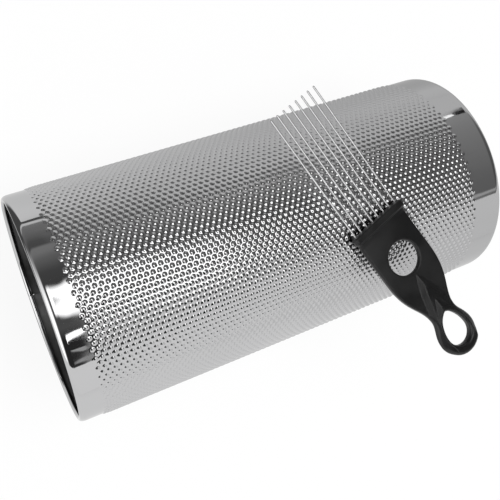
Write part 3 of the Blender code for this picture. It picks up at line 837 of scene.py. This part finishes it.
# small cards in front of it, each a strength and its corners by distance along and angle:
# a lit strip, a grey shade, two faint glints, and a streak with a dark end
cardRadius = 0.96 * room["radius"]
cards = {
    "stripLight": (2.4, ((-0.07, -26.4), (0.03, -21.6), (0.03, -25.8), (-0.07, -33.2))),
    "patchShade": (0.15, ((-0.05, 12), (-0.036, 11.2), (-0.028, 9.8), (-0.024, 7.4), (-0.03, 5.2), (-0.039, 3),
                          (-0.05, 3.4))),
    "upperGlint": (0.5, ((-0.043, -39.6), (-0.018, -39.8), (0.004, -40.2), (0.006, -42.5), (0.002, -43.9),
                         (-0.018, -42.2))),
    "lowerGlint": (0.45, ((-0.045, -53.2), (-0.027, -50.6), (-0.002, -49.6), (0.004, -51), (0, -53.6),
                          (-0.027, -53.6))),
    "whiteStreak": (1.8, ((1.25, 62.3), (1.298, 61.8), (1.298, 60.0), (1.25, 58.2))),
    "darkStreak": (0.02, ((1.28, 61.6), (1.304, 64.3), (1.335, 68), (1.365, 67), (1.365, 58), (1.317, 59), (1.29, 60)))}


def aroundDrum(x, degrees, radius):
    turn = math.radians(degrees)
    return (x, radius * math.sin(turn), axisHeight + radius * math.cos(turn))


def onlyMirrored(obj):
    obj.visible_camera = obj.visible_diffuse = obj.visible_shadow = obj.visible_transmission = False


def glowing(name, strength):
    # the strength is a number, or the name of the mesh's own attribute
    material, tree, _ = newMaterial(name)
    if isinstance(strength, str):
        strength = addNode(tree, "ShaderNodeAttribute", attribute_name=strength).outputs["Fac"]
    glow = addNode(tree, "ShaderNodeEmission", {"Strength": strength})
    tree.links.new(glow.outputs[0], tree.nodes["Material Output"].inputs["Surface"])
    return material


def roomGlow(x, degrees, share, look):
    values = []
    for stops in room["glow"]:
        turns, value = np.array(stops).T
        values.append(np.interp(turns[0] + share * (turns[-1] - turns[0]), turns, value))
    top, bottom = (np.interp(x, *np.array(softbox[key]).T) for key in ("top", "bottom"))
    soft = softbox["soft"] / 2
    lit = ease(top - degrees, -soft, soft) * ease(degrees - bottom, -soft, soft)
    lit = lit * ease(x, *softbox["fadeLeft"]) * (1 - ease(x, *softbox["fadeRight"]))
    return np.interp(look, range(len(values)), values) + softbox["strength"] * lit


def makeDarkRoom():
    stations = np.union1d(np.linspace(room["left"], room["right"], room["stations"]), np.linspace(*room["closer"]))
    shares = np.linspace(0, 1, room["steps"])
    points, glows, faces = [], [], []
    lows, highs = ([stops[end][0] for stops in room["glow"]] for end in (0, -1))
    for x in stations:
        look = np.interp(x, room["places"], room["looks"])
        low, high = (np.interp(look, range(len(edges)), edges) for edges in (lows, highs))
        for share in shares:
            degrees = low + (high - low) * share
            points.append(aroundDrum(x, degrees, room["radius"]))
            glows.append(roomGlow(x, degrees, share, look))
    count = len(shares)
    for k in range(len(stations) - 1):
        for j in range(k * count, k * count + count - 1):
            faces.append((j, j + count, j + count + 1, j + 1))
    for k, glow in zip((0, len(stations) - 1), room["endGlow"]):
        points.append((stations[k], 0, axisHeight))
        glows.append(glow)
        faces += [(k * count + j, k * count + j + 1, len(points) - 1) for j in range(count - 1)]
    mesh = bpy.data.meshes.new("darkRoom")
    mesh.from_pydata(points, [], faces)
    mesh.attributes.new("glow", "FLOAT", "POINT").data.foreach_set("value", glows)
    onlyMirrored(newObject("darkRoom", mesh, glowing("darkRoom", "glow")))


def makeCard(name, strength, corners):
    mesh = bpy.data.meshes.new(name)
    points = [aroundDrum(x, degrees, cardRadius) for x, degrees in corners]
    mesh.from_pydata(points, [], [range(len(points))])
    onlyMirrored(newObject(name, mesh, glowing(name, strength)))


def makeLamp(name, place, aim, size, power):
    lamp = bpy.data.lights.new(name, "AREA")
    lamp.shape = "ELLIPSE"
    lamp.size, lamp.size_y = size
    lamp.energy = power
    obj = bpy.data.objects.new(name, lamp)
    bpy.context.scene.collection.objects.link(obj)
    obj.location = place
    obj.rotation_euler = (Vector(aim) - Vector(place)).to_track_quat("-Z", "Y").to_euler()
    obj.visible_camera = obj.visible_glossy = False


makeSurround()
makeFloor()
makeDarkRoom()
for name, card in cards.items():
    makeCard(name, *card)
makeLamp("overheadLamp", studio["lampPlace"], (0, 0, axisHeight), studio["lampSize"], studio["lampPower"])
print("studio lit")


# camera, fitted to the photograph's view

view = {"place": (-0.1764, 0.0348, 0.5360), "lens": 51.54, "sensor": 36, "nearest": 0.01,
        "right": (0.88558, -0.30270, 0.35233), "up": (0.31396, 0.94909, 0.02628), "back": (-0.34234, 0.08734, 0.93551)}


def makeCamera():
    data = bpy.data.cameras.new("camera")
    data.lens, data.sensor_width, data.clip_start = view["lens"], view["sensor"], view["nearest"]
    camera = bpy.data.objects.new("camera", data)
    bpy.context.scene.collection.objects.link(camera)
    turn = Matrix((view["right"], view["up"], view["back"])).transposed()
    camera.matrix_world = Matrix.Translation(view["place"]) @ turn.to_4x4()
    bpy.context.scene.camera = camera


makeCamera()
bpy.context.scene.view_settings.view_transform = "Standard"
